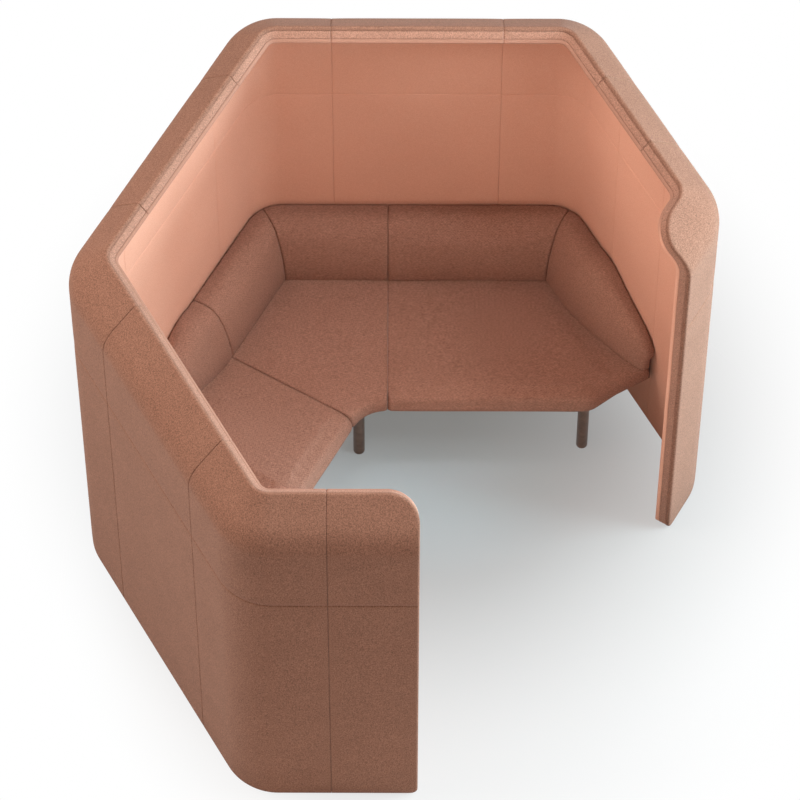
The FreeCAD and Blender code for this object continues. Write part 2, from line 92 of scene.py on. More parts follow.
def walkSides():
    corner = np.zeros(2)
    walked = []
    for index, length in enumerate(sideLengths):
        heading = math.pi - wallPlan["turn"] * index
        along = np.array((math.cos(heading), math.sin(heading)))
        inward = np.array((math.sin(heading), -math.cos(heading)))
        walked.append({"start": corner, "along": along, "inward": inward, "length": length})
        corner = corner + along * length
    shift = np.array(((walked[2]["start"][0] + walked[5]["start"][0]) / 2,
                      (walked[1]["start"][1] + walked[3]["start"][1]) / 2))
    for side in walked:
        side["start"] = side["start"] - shift
    return walked


sides = walkSides()
frontSide, leftFrontSide, leftSide, backSide, rightSide, wingSide = sides


def straightSpan(side, start, end):
    return {"side": side, "start": start, "length": end - start}


def turnSpan(before):
    return {"side": before, "start": before["length"] - wallPlan["tangent"], "turn": True,
            "length": wallPlan["cornerRadius"] * wallPlan["turn"]}


def straightModule(side):
    leg = wallPlan["cornerLeg"] + wallPlan["halfSeam"]
    return {"spans": [straightSpan(side, leg, side["length"] - leg)]}


def cornerModule(before, after):
    leg = wallPlan["cornerLeg"] - wallPlan["halfSeam"]
    freeEnd = after is wingSide
    stop = after["length"] if freeEnd else leg
    return {"spans": [straightSpan(before, before["length"] - leg, before["length"] - wallPlan["tangent"]),
                      turnSpan(before), straightSpan(after, wallPlan["tangent"], stop)], "freeEnd": freeEnd}


wallModules = {
    "front_end": {"spans": [straightSpan(frontSide, 0.0, wallPlan["frontEnd"] - wallPlan["halfSeam"])],
                  "freeStart": True},
    "front_left_corner": cornerModule(frontSide, leftFrontSide),
    "left_front": straightModule(leftFrontSide),
    "left_corner": cornerModule(leftFrontSide, leftSide),
    "left_back": straightModule(leftSide),
    "back_left_corner": cornerModule(leftSide, backSide),
    "back": straightModule(backSide),
    "back_right_corner": cornerModule(backSide, rightSide),
    "right_back": straightModule(rightSide),
    "right_corner": cornerModule(rightSide, wingSide),
}


def pathAt(spans, distance):
    base = np.zeros(distance.shape + (2,))
    inward = np.zeros(distance.shape + (2,))
    start = 0.0
    for index, span in enumerate(spans):
        side = span["side"]
        inside = distance >= start if index else np.full(distance.shape, True)
        if index < len(spans) - 1:
            inside &= distance < start + span["length"]
        run = distance[inside] - start
        if "turn" in span:
            radius = wallPlan["cornerRadius"]
            pivot = side["start"] + side["along"] * span["start"] + side["inward"] * radius
            angle = run / radius
            facing = (side["inward"] * np.cos(angle)[:, None] - side["along"] * np.sin(angle)[:, None])
            inward[inside] = facing
            base[inside] = pivot - facing * radius
        else:
            inward[inside] = side["inward"]
            base[inside] = side["start"] + side["along"] * (span["start"] + run)[:, None]
        start += span["length"]
    return base, inward


edgeSteps = (0.0, 0.0006, 0.0016, 0.003, 0.005, 0.0078, 0.012, 0.02, 0.04)  # fine near a rolled edge
wallMesh = {
    "leastStep": 0.0001,  # stops closer than this are one
    "turnPitch": 0.012,
    "straightPitch": 0.03,
    "footSteps": 8,
    "uprightSteps": 34,
    "bendSteps": 12,
    "slopeSteps": 18,
    "farOff": 1.0,  # stands for no edge near
    "swellReach": 0.035,
    "sinkReach": 0.0015,
    "rimShade": 0.006,  # width of the painted shade round the lining's rim, which faces the light from above
    "rimShadeFade": 0.06,  # how far the painted shade runs down a free end, where less light falls
}
quarterTurn = math.pi / 2


def apart(stops):
    kept = []
    for stop in sorted(stops):
        if not kept or stop - kept[-1] > wallMesh["leastStep"]:
            kept.append(stop)
    return kept


def columnStops(spans):
    total = sum(span["length"] for span in spans)
    stops = set(edgeSteps) | {total - step for step in edgeSteps}
    start = 0.0
    for span in spans:
        pitch = wallMesh["turnPitch" if "turn" in span else "straightPitch"]
        count = max(2, round(span["length"] / pitch))
        for step in range(count + 1):
            stop = start + span["length"] * step / count
            if edgeSteps[-1] < stop < total - edgeSteps[-1]:
                stops.add(stop)
        start += span["length"]
    return np.array(apart(stops)), total


def sectionRows(rimInset):
    foot = wallSection["foot"]
    seam = wallSection["crossSeam"]
    footSteps = wallMesh["footSteps"]
    uprightSteps = wallMesh["uprightSteps"]
    bendSteps = wallMesh["bendSteps"]
    slopeSteps = wallMesh["slopeSteps"]
    heights = {foot + step for step in edgeSteps}
    for step in range(1, footSteps + 1):
        heights.add(foot + wallSection["footRound"] * (1 - math.cos(step * quarterTurn / footSteps)))
    heights |= {seam + way * step for way in (-1, 1) for step in edgeSteps}
    for step in range(1, uprightSteps + 1):
        height = foot + (wallSection["bendHeight"] - foot) * step / uprightSteps
        if abs(height - seam) > edgeSteps[-1] and height > foot + edgeSteps[-1]:
            heights.add(height)
    rows = [("upright", height) for height in apart(heights)]
    rows += [("bend", wallSection["hoodAngle"] * step / bendSteps) for step in range(1, bendSteps + 1)]
    for step in range(slopeSteps + 1):
        fromRim = wallSection["endRound"] * (1 - math.sin(step * quarterTurn / slopeSteps))
        rows.append(("slope", wallSection["hoodSlope"] - fromRim - rimInset * step / slopeSteps))
    return rows


def sectionAt(rows, depth, sink):
    reach = np.zeros_like(depth)
    height = np.zeros_like(depth)
    radius = wallSection["bendRadius"]
    hood = wallSection["hoodAngle"]
    for index, (zone, value) in enumerate(rows):
        if zone == "upright":
            reach[index] = depth[index]
            height[index] = value
            continue
        angle = value if zone == "bend" else hood
        reach[index] = radius - (radius - depth[index]) * math.cos(angle)
        height[index] = wallSection["bendHeight"] + (radius - depth[index]) * math.sin(angle)
        if zone == "slope":
            run = value - sink[index]
            reach[index] += run * math.sin(hood)
            height[index] += run * math.cos(hood)
    return reach, height


def developed(row):
    zone, value = row
    bendRun = wallSection["bendRadius"] * wallSection["hoodAngle"]
    if zone == "upright":
        return value
    if zone == "bend":
        return wallSection["bendHeight"] + wallSection["bendRadius"] * value
    return wallSection["bendHeight"] + bendRun + value


def rolled(distance, radius):
    if radius == 0:
        return np.zeros_like(distance)
    into = radius - np.clip(distance, 0, radius)
    return radius - np.sqrt(np.maximum(radius ** 2 - into ** 2, 0))


def roundedStop(fromRim, fromFoot, inset):
    cut = np.zeros_like(fromRim)
    for away, radius in ((fromRim, wallSection["endRound"] - inset), (fromFoot, wallSection["footRound"])):
        cut = np.maximum(cut, rolled(away, radius))
    return cut


def linkObject(name, data):
    obj = bpy.data.objects.new(name, data)
    scene.collection.objects.link(obj)
    return obj


def setUv(mesh, flat):
    uvLayer = mesh.uv_layers.new(name="cloth")
    uvLayer.data.foreach_set("uv", flat.astype(np.float32).ravel())


def cornerPoints(mesh):
    corners = np.zeros(len(mesh.loops), dtype=np.int32)
    mesh.loops.foreach_get("vertex_index", corners)
    return corners


def smoothFaces(mesh):
    mesh.polygons.foreach_set("use_smooth", [True] * len(mesh.polygons))


def rowDistances(rows, inset):
    fromRim = []
    fromFoot = []
    fromSeam = []
    for zone, value in rows:
        upright = zone == "upright"
        fromRim.append(wallSection["hoodSlope"] - inset - value if zone == "slope" else wallMesh["farOff"])
        fromFoot.append(value - wallSection["foot"] if upright else wallMesh["farOff"])
        fromSeam.append(abs(value - wallSection["crossSeam"]) if upright else wallMesh["farOff"])
    return np.array(fromRim), np.array(fromFoot), np.array(fromSeam)


def layerGrid(module, layer, rows):  # where each point lies along the wall, and how far from edges and seams
    inset = layer["inset"]
    stops, total = columnStops(module["spans"])
    fromRim, fromFoot, fromSeam = rowDistances(rows, inset)
    startStop = inset if module.get("freeStart") else -layer["meet"]
    endStop = total - (inset if module.get("freeEnd") else -layer["meet"])
    first = np.full(len(rows), startStop)
    last = np.full(len(rows), endStop)
    if module.get("freeStart"):
        first = first + roundedStop(fromRim, fromFoot, inset)
    if module.get("freeEnd"):
        last = last - roundedStop(fromRim, fromFoot, inset)
    along = first[:, None] + (stops / total)[None, :] * (last - first)[:, None]
    rim = np.repeat(fromRim[:, None], len(stops), axis=1)
    foot = np.repeat(fromFoot[:, None], len(stops), axis=1)
    joined = np.full_like(along, wallMesh["farOff"])
    edge = np.minimum(rim, foot)
    for free, away in (("freeStart", along - startStop), ("freeEnd", endStop - along)):
        if not module.get(free):
            joined = np.minimum(joined, away)
            continue
        edge = np.minimum(edge, away)
        for side, radius in ((rim, wallSection["endRound"] - inset), (foot, wallSection["footRound"])):
            corner = (away < radius) & (side < radius)
            edge = np.where(corner, radius - np.hypot(radius - away, radius - side), edge)
    return {"along": along, "rim": rim, "edge": np.maximum(edge, 0), "joined": np.maximum(joined, 0),
            "seam": fromSeam[:, None]}


def layerFaces(rowCount, columnCount):
    grid = np.arange(rowCount * columnCount).reshape(rowCount, columnCount)
    quads = np.stack((grid[:-1, :-1], grid[:-1, 1:], grid[1:, 1:], grid[1:, :-1]), axis=2).reshape(-1, 4)
    faces = [tuple(quad) for quad in quads.tolist()]
    faces += [tuple(reversed(quad)) for quad in (quads + grid.size).tolist()]
    loop = np.concatenate((grid[0, :], grid[1:, -1], grid[-1, -2::-1], grid[-2:0:-1, 0])).tolist()
    for index, here in enumerate(loop):
        after = loop[(index + 1) % len(loop)]
        faces.append((after, here, here + grid.size, after + grid.size))
    return faces


def markCloth(mesh, grid, rows):
    # painted shade: the lining's edge that faces the light from above gets a darker colour
    rimShaded = np.clip(2 - 2 * grid["edge"] / wallMesh["rimShade"], 0, 1)  # full over the outer half
    rimShaded = rimShaded * np.clip(1 - grid["rim"] / wallMesh["rimShadeFade"], 0, 1)
    rimShade = mesh.attributes.new("rimShade", "FLOAT", "POINT")  # painted shade on the rim's edge, fading down a free end
    rimShade.data.foreach_set("value", np.concatenate((rimShaded, rimShaded)).astype(np.float32).ravel())
    upward = np.array([developed(row) for row in rows])
    upward = np.repeat(upward[:, None], grid["along"].shape[1], axis=1)
    flat = np.stack((grid["along"], upward), axis=2).reshape(-1, 2)
    setUv(mesh, np.concatenate((flat, flat))[cornerPoints(mesh)])


def layerMesh(name, module, layer):
    rows = sectionRows(layer["inset"])
    grid = layerGrid(module, layer, rows)
    edge = grid["edge"]
    joined = grid["joined"]
    groove = layer["groove"] * np.exp(-(grid["seam"] / layer["grooveReach"]))
    inside = np.minimum(np.minimum(edge, joined), grid["seam"])
    puff = layer["swell"] * (1 - np.exp(-inside / wallMesh["swellReach"]))
    near = layer["near"] + np.maximum(rolled(edge, layer["rollNear"]), rolled(joined, layer["seamNear"]))
    far = layer["far"] - np.maximum(rolled(edge, layer["rollFar"]), rolled(joined, layer["seamFar"]))
    if layer["face"] == "near":
        near = near + groove - puff
    if layer["face"] == "far":
        far = far - groove + puff
    sink = layer["seamSink"] * np.exp(-joined / wallMesh["sinkReach"])  # the rim dips where modules meet
    base, inward = pathAt(module["spans"], grid["along"])
    verts = []
    for depth in (near, far):
        reach, height = sectionAt(rows, depth, sink)
        spot = base + inward * reach[..., None]
        verts.append(np.concatenate((spot, height[..., None]), axis=2).reshape(-1, 3))
    mesh = bpy.data.meshes.new(name)
    mesh.from_pydata(np.concatenate(verts).tolist(), [], layerFaces(*edge.shape))
    markCloth(mesh, grid, rows)
    smoothFaces(mesh)
    return mesh


# Materials
plainWhite = (1.0, 1.0, 1.0)


def emptyTree(name):
    material = bpy.data.materials.new(name)
    material.use_nodes = True
    tree = material.node_tree
    tree.nodes.clear()
    return material, tree, tree.nodes.new("ShaderNodeOutputMaterial")


def newMaterial(name):
    material, tree, output = emptyTree(name)
    surface = tree.nodes.new("ShaderNodeBsdfPrincipled")
    tree.links.new(surface.outputs[0], output.inputs["Surface"])
    return material, tree, surface


def coordinates(tree, kind):
    node = tree.nodes.new("ShaderNodeTexCoord")
    return node.outputs[kind]


def noise(tree, source, scale, detail, roughness, distortion=0.0):
    node = tree.nodes.new("ShaderNodeTexNoise")
    tree.links.new(source, node.inputs["Vector"])
    node.inputs["Scale"].default_value = scale
    node.inputs["Detail"].default_value = detail
    node.inputs["Roughness"].default_value = roughness
    node.inputs["Distortion"].default_value = distortion
    return node.outputs["Fac"]


def stretched(tree, source, scale):
    node = tree.nodes.new("ShaderNodeMapping")
    node.inputs["Scale"].default_value = scale
    tree.links.new(source, node.inputs["Vector"])
    return node.outputs["Vector"]


def ramp(tree, source, places, colours):
    node = tree.nodes.new("ShaderNodeValToRGB")
    tree.links.new(source, node.inputs["Fac"])
    elements = node.color_ramp.elements
    while len(elements) < len(places):
        elements.new(0.5)  # between the two ends, placed below
    for element, place, colour in zip(elements, places, colours):
        element.position = place
        element.color = (*colour, 1.0)
    return node.outputs["Color"]


def mixColours(tree, share, first, second, mode="MIX"):
    node = tree.nodes.new("ShaderNodeMix")
    node.data_type = "RGBA"
    node.blend_type = mode
    if hasattr(share, "is_linked"):
        tree.links.new(share, node.inputs["Factor"])
    else:
        node.inputs["Factor"].default_value = share
    for value, socket in ((first, node.inputs[6]), (second, node.inputs[7])):
        if hasattr(value, "is_linked"):
            tree.links.new(value, socket)
        else:
            socket.default_value = (*value, 1.0)
    return node.outputs[2]


def rangeOf(tree, source, low, high):
    node = tree.nodes.new("ShaderNodeMapRange")
    tree.links.new(source, node.inputs["Value"])
    node.inputs["To Min"].default_value = low
    node.inputs["To Max"].default_value = high
    return node.outputs["Result"]


def mathOf(tree, operation, first, second):
    node = tree.nodes.new("ShaderNodeMath")
    node.operation = operation
    for value, socket in ((first, node.inputs[0]), (second, node.inputs[1])):
        if hasattr(value, "is_linked"):
            tree.links.new(value, socket)
        else:
            socket.default_value = value
    return node.outputs[0]


waveRate = 20.0  # radians that a wave node of scale 1 runs through in a metre


def bands(tree, source, direction, pitch, wobble=1.2):
    node = tree.nodes.new("ShaderNodeTexWave")
    tree.links.new(source, node.inputs["Vector"])
    node.bands_direction = direction
    node.inputs["Scale"].default_value = 2 * math.pi / (waveRate * pitch)
    node.inputs["Distortion"].default_value = wobble
    node.inputs["Detail"].default_value = 1.0
    node.inputs["Detail Scale"].default_value = 2.0
    return node.outputs["Fac"]


def seenRays(tree):  # rays that look at the backdrop: straight, mirrored or through glass
    path = tree.nodes.new("ShaderNodeLightPath")
    mirrored = mathOf(tree, "MAXIMUM", path.outputs["Is Glossy Ray"], path.outputs["Is Transmission Ray"])
    return mathOf(tree, "MAXIMUM", path.outputs["Is Camera Ray"], mirrored)


def bumpFrom(tree, surface, height, strength, distance):
    node = tree.nodes.new("ShaderNodeBump")
    tree.links.new(height, node.inputs["Height"])
    node.inputs["Strength"].default_value = strength
    node.inputs["Distance"].default_value = distance
    tree.links.new(node.outputs["Normal"], surface.inputs["Normal"])


clothFinish = {"threadStops": (0.35, 0.65), "cloudStops": (0.3, 0.7), "ribStops": (0.3, 0.95),
               "roughSpan": 0.06}


def fabric(name, look):
    material, tree, surface = newMaterial(name)
    place = coordinates(tree, "Object")
    cloth = coordinates(tree, "UV")
    drawn = stretched(tree, place, look["drawn"])
    fleck = noise(tree, drawn, look["fleckScale"], detail=4.0, roughness=0.62)
    fine = noise(tree, place, look["fineScale"], detail=2.0, roughness=0.5)
    cloud = noise(tree, place, look["cloudScale"], detail=3.0, roughness=0.5)
    flecks = ramp(tree, fleck, look["fleckStops"], (look["dark"], look["light"]))
    # painted shade: a darker colour along the lining's rim, where light from above falls
    if "rimShadeDark" in look:
        rimShaded = ramp(tree, fleck, look["fleckStops"], (look["rimShadeDark"], look["rimShadeLight"]))
        rimShade = tree.nodes.new("ShaderNodeAttribute")
        rimShade.attribute_name = "rimShade"
        flecks = mixColours(tree, rimShade.outputs["Fac"], flecks, rimShaded)
    threads = ramp(tree, fine, clothFinish["threadStops"], (look["threadDark"], look["threadLight"]))
    shade = ramp(tree, cloud, clothFinish["cloudStops"], (look["cloudDark"], plainWhite))
    colour = mixColours(tree, look["threadMix"], flecks, threads, "SOFT_LIGHT")
    colour = mixColours(tree, look["cloudMix"], colour, shade, "MULTIPLY")
    warp = bands(tree, cloth, look["warp"], look["pitch"])
    weft = bands(tree, cloth, "Y", look["pitch"])
    weave = mathOf(tree, "MAXIMUM", warp, weft)
    ribs = ramp(tree, weave, clothFinish["ribStops"], (look["ribDark"], plainWhite))
    colour = mixColours(tree, look["ribMix"], colour, ribs, "MULTIPLY")
    tree.links.new(colour, surface.inputs["Base Color"])
    span = clothFinish["roughSpan"]
    rough = rangeOf(tree, fine, look["rough"] - span, look["rough"] + span)
    tree.links.new(rough, surface.inputs["Roughness"])
    surface.inputs["Specular IOR Level"].default_value = look["specular"]
    surface.inputs["Sheen Weight"].default_value = look["sheen"]
    surface.inputs["Sheen Roughness"].default_value = look["sheenRough"]
    surface.inputs["Sheen Tint"].default_value = (*look["sheenTint"], 1.0)
    pile = mathOf(tree, "MULTIPLY", fleck, look["pileShare"])
    height = mathOf(tree, "ADD", mathOf(tree, "MULTIPLY", weave, look["weaveShare"]), pile)
    bumpFrom(tree, surface, height, look["bump"], look["bumpDepth"])
    return material


outerFelt = fabric("outerFelt", {
    "dark": (0.120, 0.058, 0.038), "light": (0.270, 0.136, 0.093),
    "drawn": (1.0, 1.0, 0.5), "fleckScale": 265.0, "fleckStops": (0.34, 0.68),
    "fineScale": 800.0, "threadMix": 0.6,
    "threadDark": (0.38, 0.36, 0.35), "threadLight": (0.62, 0.61, 0.60),
    "cloudScale": 7.0, "cloudDark": (0.88, 0.86, 0.85), "cloudMix": 0.6,
    "rough": 0.90, "specular": 0.12,
    "sheen": 0.06, "sheenRough": 0.4, "sheenTint": (1.0, 0.96, 0.93),
    "warp": "X", "pitch": 0.0045, "ribDark": (0.9, 0.89, 0.88), "ribMix": 0.2,
    "weaveShare": 0.10, "pileShare": 0.9, "bump": 0.14, "bumpDepth": 0.003,
})
coreFelt = fabric("coreFelt", {
    "dark": (0.176, 0.087, 0.059), "light": (0.380, 0.199, 0.141),
    "drawn": (1.0, 1.0, 1.0), "fleckScale": 260.0, "fleckStops": (0.35, 0.68),
    "fineScale": 900.0, "threadMix": 0.5,
    "threadDark": (0.38, 0.36, 0.35), "threadLight": (0.62, 0.61, 0.60),
    "cloudScale": 12.0, "cloudDark": (0.85, 0.83, 0.82), "cloudMix": 0.5,
    "rough": 0.92, "specular": 0.15,
    "sheen": 0.05, "sheenRough": 0.6, "sheenTint": (1.0, 0.92, 0.86),
    "warp": "X", "pitch": 0.004, "ribDark": (0.9, 0.89, 0.88), "ribMix": 0.1,
    "weaveShare": 0.05, "pileShare": 0.9, "bump": 0.3, "bumpDepth": 0.0025,
})
liningFabric = fabric("liningFabric", {
    "dark": (0.510, 0.254, 0.174), "light": (0.605, 0.328, 0.236),
    # painted shade for the lining's rim
    "rimShadeDark": (0.240, 0.114, 0.077), "rimShadeLight": (0.310, 0.155, 0.108),
    "drawn": (1.0, 1.0, 1.0), "fleckScale": 320.0, "fleckStops": (0.30, 0.70),
    "fineScale": 1100.0, "threadMix": 0.5,
    "threadDark": (0.43, 0.42, 0.41), "threadLight": (0.57, 0.57, 0.56),
    "cloudScale": 2.6, "cloudDark": (0.92, 0.90, 0.89), "cloudMix": 0.6,
    "rough": 0.80, "specular": 0.2,
    "sheen": 0.06, "sheenRough": 0.5, "sheenTint": (1.0, 0.93, 0.88),
    "warp": "X", "pitch": 0.0022, "ribDark": (0.86, 0.85, 0.84), "ribMix": 0.4,
    "weaveShare": 0.6, "pileShare": 0.35, "bump": 0.22, "bumpDepth": 0.0012,
})
benchFabric = fabric("benchFabric", {
    "dark": (0.184, 0.089, 0.061), "light": (0.366, 0.194, 0.139),
    "drawn": (0.45, 1.0, 1.0), "fleckScale": 300.0, "fleckStops": (0.32, 0.70),
    "fineScale": 1300.0, "threadMix": 0.6,
    "threadDark": (0.40, 0.39, 0.38), "threadLight": (0.61, 0.60, 0.60),
    "cloudScale": 4.0, "cloudDark": (0.90, 0.88, 0.87), "cloudMix": 0.6,
    "rough": 0.84, "specular": 0.2,
    "sheen": 0.05, "sheenRough": 0.45, "sheenTint": (1.0, 0.90, 0.84),
    "warp": "DIAGONAL", "pitch": 0.0048, "ribDark": (0.62, 0.58, 0.56), "ribMix": 0.34,
    "weaveShare": 0.7, "pileShare": 0.3, "bump": 0.35, "bumpDepth": 0.0016,
})
timberFinish = {"grainStops": (0.3, 0.55, 0.72), "plyStops": (0.35, 0.6), "plyWobble": 0.3,
                "roughLow": 0.5, "roughHigh": 0.72, "bump": 0.2, "bumpDepth": 0.0006}


def timber(name, look):
    material, tree, surface = newMaterial(name)
    place = coordinates(tree, "Object")
    fibres = stretched(tree, place, look["stretch"])
    grain = noise(tree, fibres, look["grainScale"], detail=5.0, roughness=0.6, distortion=0.8)
    plies = bands(tree, place, "Z", look["plyPitch"], timberFinish["plyWobble"])
    colour = ramp(tree, grain, timberFinish["grainStops"], (look["dark"], look["middle"], look["light"]))
    layers = ramp(tree, plies, timberFinish["plyStops"], (look["plyDark"], plainWhite))
    colour = mixColours(tree, look["plyMix"], colour, layers, "MULTIPLY")
    tree.links.new(colour, surface.inputs["Base Color"])
    rough = rangeOf(tree, grain, timberFinish["roughLow"], timberFinish["roughHigh"])
    tree.links.new(rough, surface.inputs["Roughness"])
    bumpFrom(tree, surface, grain, timberFinish["bump"], timberFinish["bumpDepth"])
    return material


birchPly = timber("birchPly", {
    "dark": (0.330, 0.205, 0.110), "middle": (0.470, 0.320, 0.190), "light": (0.560, 0.400, 0.250),
    "stretch": (4.0, 40.0, 40.0), "grainScale": 3.0,
    "plyPitch": 0.003, "plyMix": 0.35, "plyDark": (0.62, 0.52, 0.42),
})
stainedPly = timber("stainedPly", {
    "dark": (0.040, 0.020, 0.014), "middle": (0.065, 0.034, 0.024), "light": (0.090, 0.048, 0.034),
    "stretch": (6.0, 6.0, 40.0), "grainScale": 3.0,
    "plyPitch": 0.003, "plyMix": 0.25, "plyDark": (0.6, 0.55, 0.5),
})
dowelBeech = timber("dowelBeech", {
    "dark": (0.420, 0.250, 0.130), "middle": (0.560, 0.370, 0.220), "light": (0.640, 0.450, 0.290),
    "stretch": (30.0, 30.0, 30.0), "grainScale": 6.0,
    "plyPitch": 0.004, "plyMix": 0.1, "plyDark": (0.8, 0.7, 0.6),
})
hardFinish = {"wearStops": (0.35, 0.65), "bumpDepth": 0.0004}


def hardSurface(name, look):
    material, tree, surface = newMaterial(name)
    place = coordinates(tree, "Object")
    wear = noise(tree, place, look["wearScale"], detail=4.0, roughness=0.6)
    grain = noise(tree, place, look["grainScale"], detail=2.0, roughness=0.5)
    colour = ramp(tree, wear, hardFinish["wearStops"], (look["dark"], look["light"]))
    tree.links.new(colour, surface.inputs["Base Color"])
    tree.links.new(rangeOf(tree, wear, look["roughLow"], look["roughHigh"]), surface.inputs["Roughness"])
    surface.inputs["Metallic"].default_value = look["metallic"]
    bumpFrom(tree, surface, grain, look["bump"], hardFinish["bumpDepth"])
    return material


bronzeMetal = hardSurface("bronzeMetal", {
    "dark": (0.150, 0.088, 0.062), "light": (0.215, 0.132, 0.098), "wearScale": 30.0, "grainScale": 900.0,
    "roughLow": 0.30, "roughHigh": 0.42, "metallic": 0.9, "bump": 0.1,
})
blackNylon = hardSurface("blackNylon", {
    "dark": (0.012, 0.012, 0.013), "light": (0.030, 0.029, 0.029), "wearScale": 60.0, "grainScale": 1200.0,
    "roughLow": 0.48, "roughHigh": 0.65, "metallic": 0.0, "bump": 0.2,
})
zincSteel = hardSurface("zincSteel", {
    "dark": (0.42, 0.43, 0.44), "light": (0.60, 0.61, 0.61), "wearScale": 80.0, "grainScale": 600.0,
    "roughLow": 0.28, "roughHigh": 0.45, "metallic": 1.0, "bump": 0.1,
})
print("stage: materials")

# Wall covers and cores
wallLayers = {
    "shell": {"near": 0.0, "far": 0.016, "rollNear": 0.0075, "rollFar": 0.002,
              "seamNear": 0.003, "seamFar": 0.001, "inset": 0.0, "meet": 0.0003, "seamSink": 0.003,
              "face": "near", "swell": 0.0012, "groove": 0.0045, "grooveReach": 0.0022,
              "material": outerFelt, "slot": "outer_felt"},
    "core": {"near": 0.016, "far": 0.045, "rollNear": 0.0035, "rollFar": 0.0035,
             "seamNear": 0.0, "seamFar": 0.0, "inset": 0.0015, "meet": 0.00035, "seamSink": 0.004,
             "face": "none", "swell": 0.0, "groove": 0.0, "grooveReach": 0.004,
             "material": coreFelt, "slot": "core_felt"},
    "lining": {"near": 0.045, "far": 0.060, "rollNear": 0.002, "rollFar": 0.0035,
               "seamNear": 0.001, "seamFar": 0.0014, "inset": 0.002, "meet": 0.0003, "seamSink": 0.003,
               "face": "far", "swell": 0.0012, "groove": 0.003, "grooveReach": 0.0015,
               "material": liningFabric, "slot": "lining_fabric"},
}  # meet is how far a module reaches into its seam
for moduleName, module in wallModules.items():
    for layerName, layer in wallLayers.items():
        node = moduleName + "_" + layerName
        piece = linkObject(node + "_pad", layerMesh(node + "_pad", module, layer))
        piece.data.materials.append(layer["material"])
        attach(piece, "pod")
        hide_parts(node)
print("stage: walls")

# Bench cushions: the solid's form, swelled as cloth over foam and pinched at its seams
benchPlan = {
    "cushionBack": 0.080,
    "backrestFront": 0.225,
    "joint": 0.508,
    "seatTop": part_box("right_seat_cushion")[1].z,
    "seatBottom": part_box("right_seat_cushion")[0].z,
}
leftJoint = {"point": leftSide["start"] + leftSide["along"] * (fullSide - benchPlan["joint"]),
             "normal": leftSide["along"]}
backJoint = {"point": backSide["start"] + backSide["along"] * benchPlan["joint"],
             "normal": backSide["along"]}


def mitrePlane(before, after):
    across = before["along"] + after["along"]
    return {"point": after["start"], "normal": across / np.linalg.norm(across)}


backLeftMitre = mitrePlane(leftSide, backSide)
backRightMitre = mitrePlane(backSide, rightSide)
cushions = {
    "left_seat_cushion": {"walls": (leftSide,), "seams": (leftJoint,), "seat": True},
    "corner_seat_cushion": {"walls": (leftSide, backSide), "seams": (leftJoint, backJoint), "seat": True},
    "right_seat_cushion": {"walls": (backSide, rightSide), "seams": (backJoint,), "seat": True},
    "left_backrest": {"walls": (leftSide,), "seams": (leftJoint,), "seat": False},
    "corner_left_backrest": {"walls": (leftSide,), "seams": (leftJoint, backLeftMitre), "seat": False},
    "corner_back_backrest": {"walls": (backSide,), "seams": (backLeftMitre, backJoint), "seat": False},
    "right_back_backrest": {"walls": (backSide,), "seams": (backJoint, backRightMitre), "seat": False},
    "right_backrest": {"walls": (rightSide,), "seams": (backRightMitre,), "seat": False},
}
padding = {
    "voxel": 0.008,
    "evenPasses": 3,
    "pressure": 3.0,
    "frames": 14,
    "cap": 0.007,  # the furthest that the cloth may move
    "leastMove": 1e-9,
    "pinch": 0.012,
    "pinchDepth": 0.006,
    "closeReach": 0.016,
    "squeeze": 1.8,
    "frontPush": 0.012,
    "rollPush": 0.010,
    "pushStart": 0.003,
    "pushFull": 0.012,
    "rollDepth": 0.040,
    "leastAcross": 0.35,
    "pushFade": 0.1,  # the push dies out towards the backrests
    "heldSeam": 0.004,  # margins of what the cloth keeps still
    "heldBack": 0.006,
    "heldBottom": 0.012,
    "heldUnder": 0.004,
    "heldCrease": 0.008,
}


def applyModifiers(obj):
    graph = bpy.context.evaluated_depsgraph_get()
    made = bpy.data.meshes.new_from_object(obj.evaluated_get(graph))
    old = obj.data
    obj.modifiers.clear()
    obj.data = made
    bpy.data.meshes.remove(old)


def vectors(items, name):
    values = np.zeros(len(items) * 3)
    items.foreach_get(name, values)
    return values.reshape(-1, 3)


def points(mesh):
    return vectors(mesh.vertices, "co")


def setPoints(mesh, spots):
    mesh.vertices.foreach_set("co", spots.ravel())
    mesh.update()


def wallDepth(spots, walls):
    depths = [(spots[:, :2] - side["start"]) @ side["inward"] for side in walls]
    return np.min(depths, axis=0)


def seamDistance(spots, seams):
    gaps = [np.abs((spots[:, :2] - seam["point"]) @ seam["normal"]) for seam in seams]
    return np.min(gaps, axis=0)


def heldPoints(mesh, cushion):  # the seams, the rear, and what lies on a board or on a seat
    spots = points(mesh)
    depth = wallDepth(spots, cushion["walls"])
    held = seamDistance(spots, cushion["seams"]) < padding["heldSeam"]
    held |= depth < benchPlan["cushionBack"] + padding["heldBack"]
    if cushion["seat"]:
        held |= spots[:, 2] < benchPlan["seatBottom"] + padding["heldBottom"]
        held |= depth < benchPlan["backrestFront"] - padding["heldUnder"]
    else:
        held |= spots[:, 2] < benchPlan["seatTop"] + padding["heldCrease"]
    return held


def clothSwell(obj, held):
    start = points(obj.data)
    group = obj.vertex_groups.new(name="held")
    group.add([int(index) for index in np.nonzero(held)[0]], 1.0, "REPLACE")
    cloth = obj.modifiers.new("swell", "CLOTH")
    cloth.settings.vertex_group_mass = "held"
    cloth.settings.use_pressure = True
    cloth.settings.uniform_pressure_force = padding["pressure"]
    cloth.settings.effector_weights.gravity = 0.0
    cloth.point_cache.frame_start = 1
    cloth.point_cache.frame_end = padding["frames"]
    for step in range(1, padding["frames"] + 1):
        scene.frame_set(step)
    applyModifiers(obj)
    scene.frame_set(1)
    moved = points(obj.data) - start
    reach = np.linalg.norm(moved, axis=1)
    scale = np.minimum(1.0, padding["cap"] / np.maximum(reach, padding["leastMove"]))
    setPoints(obj.data, start + moved * scale[:, None])
    obj.vertex_groups.clear()


